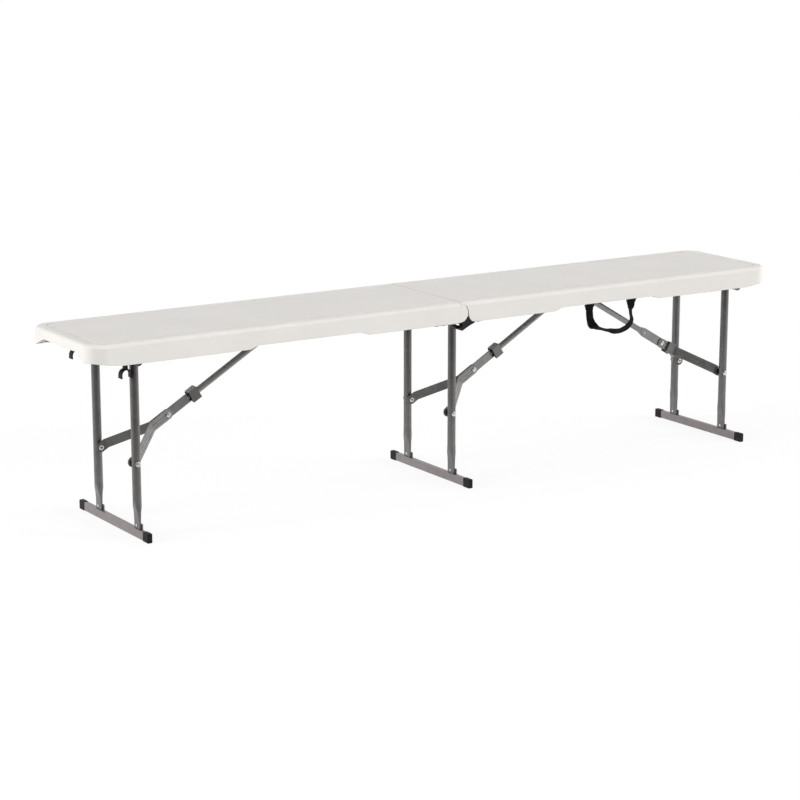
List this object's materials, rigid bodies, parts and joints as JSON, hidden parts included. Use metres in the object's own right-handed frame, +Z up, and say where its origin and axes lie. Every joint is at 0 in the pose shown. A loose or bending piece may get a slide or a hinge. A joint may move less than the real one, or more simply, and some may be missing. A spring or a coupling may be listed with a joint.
{
  "type": "folding bench",
  "caption": "Long bench with a moulded seat that folds in half, on leg frames that fold flat under it, held by jointed braces with lock collars, and a carry strap.",
  "frame": {"origin": "on the floor under the middle of the seat, at the seam between the halves", "axes": "+X along the seat towards the half with the carry strap, +Y away from the strap side, +Z up"},
  "size_m": [1.83, 0.328, 0.43],
  "materials": {
    "shell": "fine grained moulded plastic, off-white",
    "frame": "satin powder coat, grey",
    "zinc": "bright zinc plating",
    "black_steel": "black satin coat",
    "black_plastic": "black moulded plastic",
    "webbing": "black woven webbing"
  },
  "bodies": {
    "right_half": {"seat_half_right": "shell", "hinge_leaf_right_front": "black_steel", "hinge_leaf_right_rear": "black_steel", "strap_anchor_left": "black_steel", "strap_anchor_right": "black_steel", "centre_saddle_front": "frame", "centre_saddle_rear": "frame", "centre_strut_bracket": "frame", "right_saddle_front": "frame", "right_saddle_rear": "frame", "right_strut_bracket": "frame"},
    "left_half": {"seat_half_left": "shell", "hinge_leaf_left_front": "black_steel", "hinge_leaf_left_rear": "black_steel", "tube_clip_front": "black_plastic", "tube_clip_rear": "black_plastic", "left_saddle_front": "frame", "left_saddle_rear": "frame", "left_strut_bracket": "frame"},
    "left_leg_frame": {"left_cross_tube": "frame", "left_leg_front": "frame", "left_leg_rear": "frame", "left_foot_bar": "frame", "left_foot_cap_front": "black_plastic", "left_foot_cap_rear": "black_plastic", "left_arm_rivet_front": "zinc", "left_arm_rivet_rear": "zinc"},
    "left_brace_strut": {"left_strut": "frame"},
    "left_brace_arms": {"left_brace_arm_front": "frame", "left_brace_arm_rear": "frame", "left_knee_rivet": "zinc"},
    "left_collar": {"left_lock_collar": "frame"},
    "centre_leg_frame": {"centre_cross_tube": "frame", "centre_leg_front": "frame", "centre_leg_rear": "frame", "centre_foot_bar": "frame", "centre_foot_cap_front": "black_plastic", "centre_foot_cap_rear": "black_plastic", "centre_arm_rivet_front": "zinc", "centre_arm_rivet_rear": "zinc"},
    "centre_brace_strut": {"centre_strut": "frame"},
    "centre_brace_arms": {"centre_brace_arm_front": "frame", "centre_brace_arm_rear": "frame", "centre_knee_rivet": "zinc"},
    "centre_collar": {"centre_lock_collar": "frame"},
    "right_leg_frame": {"right_cross_tube": "frame", "right_leg_front": "frame", "right_leg_rear": "frame", "right_foot_bar": "frame", "right_foot_cap_front": "black_plastic", "right_foot_cap_rear": "black_plastic", "right_arm_rivet_front": "zinc", "right_arm_rivet_rear": "zinc"},
    "right_brace_strut": {"right_strut": "frame"},
    "right_brace_arms": {"right_brace_arm_front": "frame", "right_brace_arm_rear": "frame", "right_knee_rivet": "zinc"},
    "right_collar": {"right_lock_collar": "frame"},
    "strap": {"carry_strap": "webbing"}
  },
  "joints": [
    {"name": "half_fold", "type": "hinge", "parent": "right_half", "child": "left_half", "pos_m": [0.003, 0, 0.37], "axis": [0, -1, 0], "range_deg": [0, 180]},
    {"name": "left_leg_fold", "type": "hinge", "parent": "left_half", "child": "left_leg_frame", "pos_m": [-0.7975, -0.017, 0.383], "axis": [0, -1, 0], "range_deg": [0, 89.6]},
    {"name": "left_strut_fold", "type": "hinge", "parent": "left_half", "child": "left_brace_strut", "pos_m": [-0.4035, -0.017, 0.3932], "axis": [0, 1, 0], "range_deg": [0, 28.78]},
    {"name": "left_knee_fold", "type": "hinge", "parent": "left_brace_strut", "child": "left_brace_arms", "pos_m": [-0.67465, -0.017, 0.2334], "axis": [0, -1, 0], "range_deg": [0, 177.38]},
    {"name": "left_collar_slide", "type": "slide", "parent": "left_brace_strut", "child": "left_collar", "axis": [0.8615, 0, 0.5077], "range_m": [-0.1035, 0]},
    {"name": "centre_leg_fold", "type": "hinge", "parent": "right_half", "child": "centre_leg_frame", "pos_m": [0.018, 0.006, 0.383], "axis": [0, -1, 0], "range_deg": [0, 89.6]},
    {"name": "centre_strut_fold", "type": "hinge", "parent": "right_half", "child": "centre_brace_strut", "pos_m": [0.412, 0.006, 0.3932], "axis": [0, 1, 0], "range_deg": [0, 28.78]},
    {"name": "centre_knee_fold", "type": "hinge", "parent": "centre_brace_strut", "child": "centre_brace_arms", "pos_m": [0.14085, 0.006, 0.2334], "axis": [0, -1, 0], "range_deg": [0, 177.38]},
    {"name": "centre_collar_slide", "type": "slide", "parent": "centre_brace_strut", "child": "centre_collar", "axis": [0.8615, 0, 0.5077], "range_m": [-0.1035, 0]},
    {"name": "right_leg_fold", "type": "hinge", "parent": "right_half", "child": "right_leg_frame", "pos_m": [0.828, 0.006, 0.383], "axis": [0, 1, 0], "range_deg": [0, 89.6]},
    {"name": "right_strut_fold", "type": "hinge", "parent": "right_half", "child": "right_brace_strut", "pos_m": [0.434, 0.006, 0.3932], "axis": [0, -1, 0], "range_deg": [0, 28.78]},
    {"name": "right_knee_fold", "type": "hinge", "parent": "right_brace_strut", "child": "right_brace_arms", "pos_m": [0.70515, 0.006, 0.2334], "axis": [0, 1, 0], "range_deg": [0, 177.38]},
    {"name": "right_collar_slide", "type": "slide", "parent": "right_brace_arms", "child": "right_collar", "axis": [-0.8615, 0, 0.5077], "range_m": [0, 0.054]},
    {"name": "strap_swing", "type": "hinge", "parent": "right_half", "child": "strap", "pos_m": [0.4275, -0.143, 0.3845], "axis": [-1, 0, 0], "range_deg": [0, 90]}
  ],
  "couplings": [
    {"joint": "left_leg_fold", "follows": "half_fold", "ratio": 0.49777},
    {"joint": "left_strut_fold", "follows": "half_fold", "ratio": 0.15987},
    {"joint": "left_knee_fold", "follows": "half_fold", "ratio": 0.9854},
    {"joint": "centre_leg_fold", "follows": "half_fold", "ratio": 0.49777},
    {"joint": "centre_strut_fold", "follows": "half_fold", "ratio": 0.15987},
    {"joint": "centre_knee_fold", "follows": "half_fold", "ratio": 0.9854},
    {"joint": "right_leg_fold", "follows": "half_fold", "ratio": 0.49777},
    {"joint": "right_strut_fold", "follows": "half_fold", "ratio": 0.15987},
    {"joint": "right_knee_fold", "follows": "half_fold", "ratio": 0.9854},
    {"joint": "strap_swing", "follows": "half_fold", "ratio": 0.5}
  ]
}
